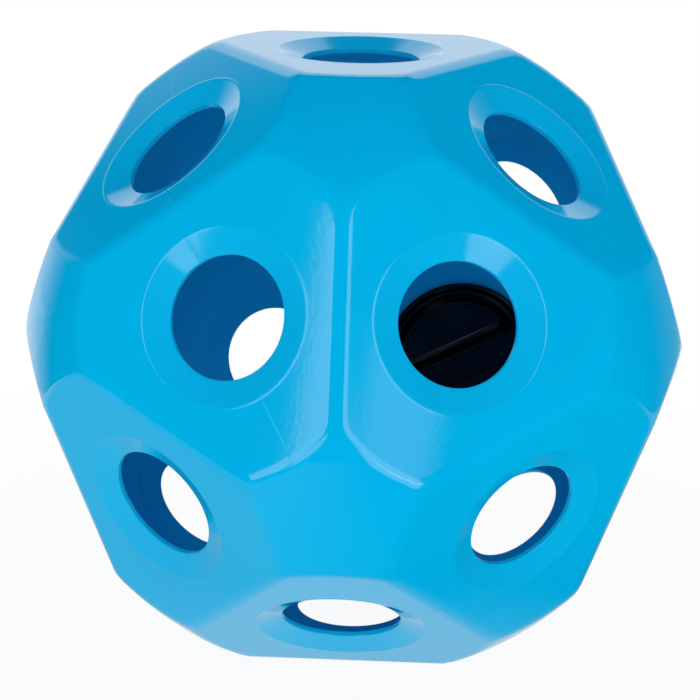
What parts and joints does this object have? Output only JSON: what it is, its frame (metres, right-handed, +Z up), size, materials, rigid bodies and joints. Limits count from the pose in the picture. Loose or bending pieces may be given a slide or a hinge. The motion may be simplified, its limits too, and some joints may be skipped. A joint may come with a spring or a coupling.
{
  "type": "treat dispensing ball",
  "caption": "Hollow faceted feed ball with a dished round hole in each flat face and a screw lid for filling; it rolls, and feed falls or is pulled out of the holes.",
  "frame": {"origin": "centre of the flat face that the ball stands on, straight below the ball's centre", "axes": "+Z up, square to the rest face; -Y is the front, where two faces share an upright edge; the lid is at the back, low"},
  "size_m": [0.3816, 0.3999, 0.3584],
  "materials": {
    "shell_plastic": "gloss",
    "closure_plastic": "satin",
    "gasket_rubber": "matte"
  },
  "bodies": {
    "ball": {"ball_shell": "shell_plastic", "neck_ring": "closure_plastic"},
    "gasket": {"lid_gasket": "gasket_rubber"},
    "lid": {"screw_lid": "closure_plastic"}
  },
  "joints": [
    {"name": "lid_rise", "type": "slide", "parent": "ball", "child": "gasket", "axis": [0.3568, 0.8727, -0.3333], "range_m": [0, 0.0105]},
    {"name": "lid_turn", "type": "hinge", "parent": "gasket", "child": "lid", "pos_m": [0.06394, 0.15638, 0.11947], "axis": [0.3568, 0.8727, -0.3333], "range_deg": [0, 150]}
  ],
  "couplings": [
    {"joint": "lid_rise", "follows": "lid_turn", "m_per_rad": 0.0038197}
  ]
}
